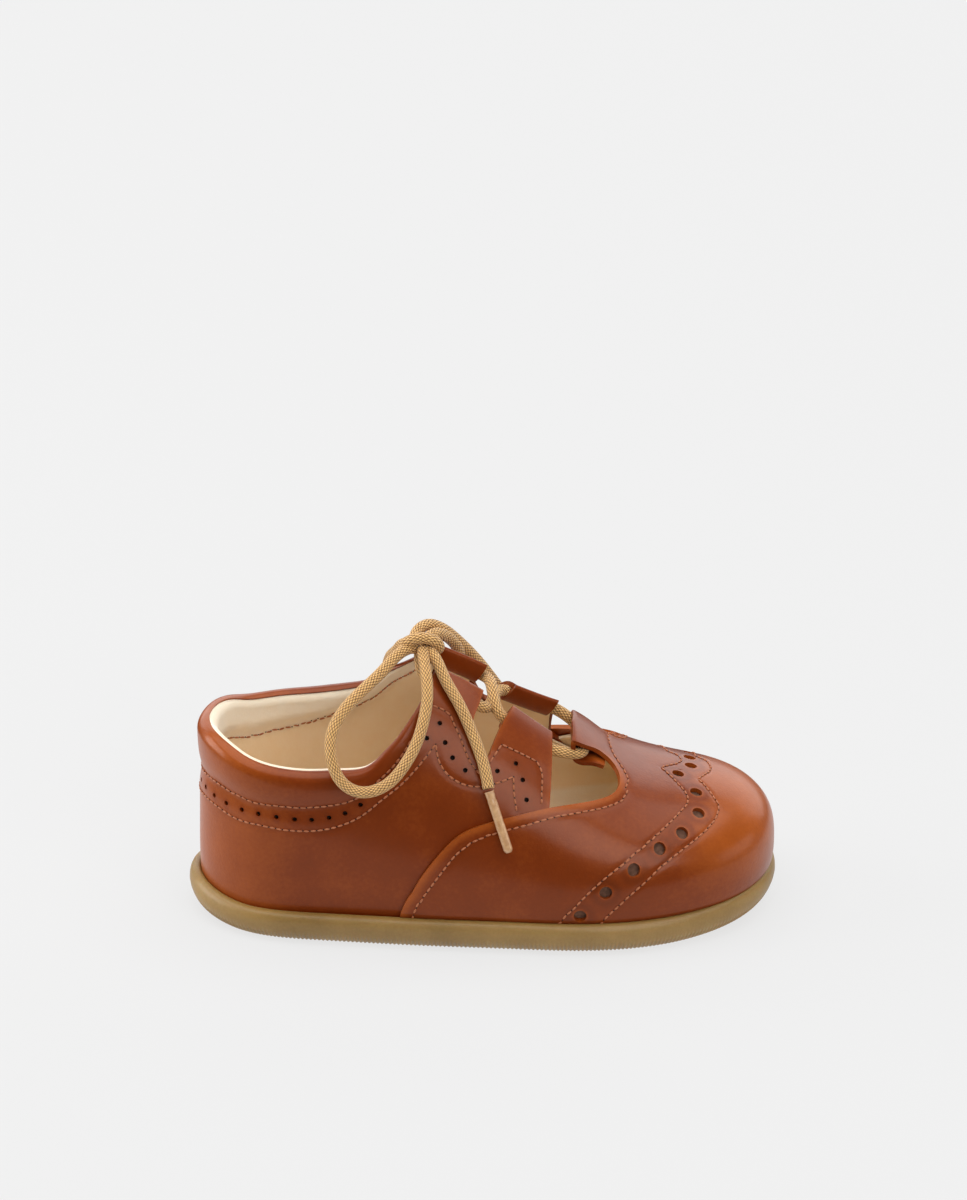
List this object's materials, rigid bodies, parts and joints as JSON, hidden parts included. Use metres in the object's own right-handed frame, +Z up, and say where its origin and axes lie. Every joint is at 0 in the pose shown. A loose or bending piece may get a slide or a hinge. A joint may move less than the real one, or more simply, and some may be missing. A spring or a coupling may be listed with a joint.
{
  "type": "child's laced brogue",
  "caption": "Child's right brogue with gum cup sole, hollow leather upper, vamp overlay, folded lace tunnels and a round lace tied in a bow.",
  "frame": {"origin": "centre of the sole's underside, on the ground", "axes": "+X to the toe, -Y to the lateral side, +Z up"},
  "size_m": [0.1396, 0.0649, 0.072],
  "materials": {
    "gum_rubber": "matte",
    "insole_fabric": "matte",
    "brown_leather": "polished",
    "tan_cord": "matte",
    "clear_tip": "glossy"
  },
  "bodies": {
    "root": {"outsole": "gum_rubber", "insole": "insole_fabric", "upper": "brown_leather", "vamp": "brown_leather", "lace_tunnel_lateral_rear": "brown_leather", "lace_tunnel_lateral_front": "brown_leather", "lace_tunnel_medial_rear": "brown_leather", "lace_tunnel_medial_front": "brown_leather", "vamp_loop": "brown_leather", "lace_crossings": "tan_cord", "lace_knot": "tan_cord", "lace_bow_lateral": "tan_cord", "lace_bow_medial": "tan_cord", "lace_end_lateral": "tan_cord", "lace_end_medial": "tan_cord", "aglet_lateral": "clear_tip", "aglet_medial": "clear_tip"}
  },
  "joints": []
}
